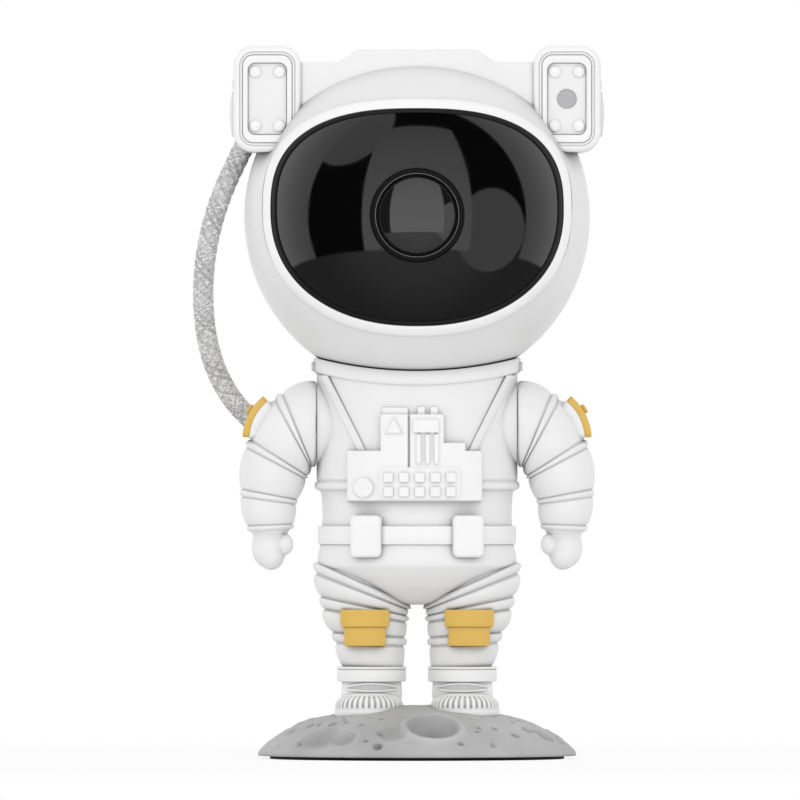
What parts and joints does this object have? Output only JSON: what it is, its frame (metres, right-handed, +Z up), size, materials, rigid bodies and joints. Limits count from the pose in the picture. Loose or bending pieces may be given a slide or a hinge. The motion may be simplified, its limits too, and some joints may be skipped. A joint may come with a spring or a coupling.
{
  "type": "star projector",
  "caption": "Astronaut-shaped star projector on a cratered moon base: magnetic ball head with lens in a dark visor, laser in an ear box, swinging arms, push buttons on the backpack.",
  "frame": {"origin": "centre of the foot pad's underside, on the surface the projector stands on", "axes": "+Z up, the figure faces -Y, +X to the viewer's right in the picture"},
  "size_m": [0.1317, 0.1119, 0.2277],
  "materials": {
    "pad_rubber": "matt",
    "dark_plastic": "matt",
    "weight_steel": "plain rolled",
    "screw_steel": "zinc plated",
    "moon_grey": "fine matt texture",
    "white_plastic": "satin",
    "yellow_plastic": "satin",
    "magnet_plating": "nickel plated",
    "board_green": "solder mask",
    "board_white": "solder mask",
    "grey_plastic": "satin",
    "panel_grey": "satin",
    "window_grey": "translucent",
    "hose_braid": "braided sleeve",
    "visor_black": "polished",
    "bezel_black": "polished",
    "lens_glass": "polished",
    "wheel_clear": "clear moulded",
    "motor_steel": "drawn can",
    "pinion_brass": "machined",
    "laser_brass": "machined",
    "sink_aluminium": "extruded"
  },
  "bodies": {
    "figure": {"foot_pad": "pad_rubber", "base_plate": "dark_plastic", "base_weight": "weight_steel", "base_screws": "screw_steel", "moon_base": "moon_grey", "leg_screws": "screw_steel", "left_boot": "white_plastic", "right_boot": "white_plastic", "suit_front": "white_plastic", "suit_rear": "white_plastic", "suit_screws": "screw_steel", "neck_collar": "white_plastic", "magnet_cup": "dark_plastic", "chest_panel": "white_plastic", "belt": "white_plastic", "belt_pouches": "white_plastic", "left_knee_pad": "yellow_plastic", "right_knee_pad": "yellow_plastic", "backpack_housing": "white_plastic", "backpack_cover": "white_plastic", "backpack_screws": "screw_steel", "control_board": "board_green", "power_socket": "screw_steel", "hose": "hose_braid", "hose_gland": "grey_plastic"},
    "neck": {"neck_magnet": "magnet_plating"},
    "head": {"helmet_front": "white_plastic", "helmet_rear": "white_plastic", "helmet_screws": "screw_steel", "visor_rim": "white_plastic", "visor": "visor_black", "lens_bezel": "bezel_black", "front_lens": "lens_glass", "lens_barrel": "dark_plastic", "head_plate": "weight_steel", "crown_bar": "white_plastic", "left_ear": "white_plastic", "right_ear": "white_plastic", "ear_panels": "panel_grey", "ear_discs": "grey_plastic", "laser_window": "window_grey", "laser_module": "laser_brass", "optics_frame": "dark_plastic", "frame_screws": "screw_steel", "wheel_pin": "screw_steel", "drive_motor": "motor_steel", "condenser_lens": "lens_glass", "lamp_board": "board_white", "heat_sink": "sink_aluminium"},
    "wave_wheel": {"wave_wheel": "wheel_clear"},
    "pinion": {"drive_pinion": "pinion_brass"},
    "left_arm": {"left_arm": "white_plastic", "left_arm_pin": "dark_plastic", "left_shoulder_patch": "yellow_plastic"},
    "right_arm": {"right_arm": "white_plastic", "right_arm_pin": "dark_plastic", "right_shoulder_patch": "yellow_plastic"},
    "power_button": {"power_button": "grey_plastic"},
    "nebula_button": {"nebula_button": "grey_plastic"},
    "star_button": {"star_button": "grey_plastic"}
  },
  "joints": [
    {"name": "head_turn", "type": "hinge", "parent": "figure", "child": "neck", "pos_m": [0, 0, 0.1131], "axis": [0, 0, 1], "range_deg": [-25, 25], "deforming": ["hose"]},
    {"name": "head_nod", "type": "hinge", "parent": "neck", "child": "head", "pos_m": [0, 0, 0.1731], "axis": [-1, 0, 0], "range_deg": [-12, 30], "deforming": ["hose"]},
    {"name": "left_arm_swing", "type": "hinge", "parent": "figure", "child": "left_arm", "pos_m": [-0.032, 0, 0.107], "axis": [-1, 0, 0], "range_deg": [-30, 110]},
    {"name": "right_arm_swing", "type": "hinge", "parent": "figure", "child": "right_arm", "pos_m": [0.032, 0, 0.107], "axis": [-1, 0, 0], "range_deg": [-30, 110]},
    {"name": "wheel_spin", "type": "hinge", "parent": "head", "child": "wave_wheel", "pos_m": [0, -0.0069, 0.1591], "axis": [0, -1, 0], "continuous": true},
    {"name": "pinion_spin", "type": "hinge", "parent": "head", "child": "pinion", "pos_m": [-0.02532, -0.0069, 0.1591], "axis": [0, -1, 0], "continuous": true},
    {"name": "power_press", "type": "slide", "parent": "figure", "child": "power_button", "axis": [0, -1, 0], "range_m": [0, 0.0006], "stiffness_N_per_m": 400},
    {"name": "nebula_press", "type": "slide", "parent": "figure", "child": "nebula_button", "axis": [0, -1, 0], "range_m": [0, 0.0006], "stiffness_N_per_m": 400},
    {"name": "star_press", "type": "slide", "parent": "figure", "child": "star_button", "axis": [0, -1, 0], "range_m": [0, 0.0006], "stiffness_N_per_m": 400}
  ],
  "couplings": [
    {"joint": "pinion_spin", "follows": "wheel_spin", "ratio": -6}
  ]
}
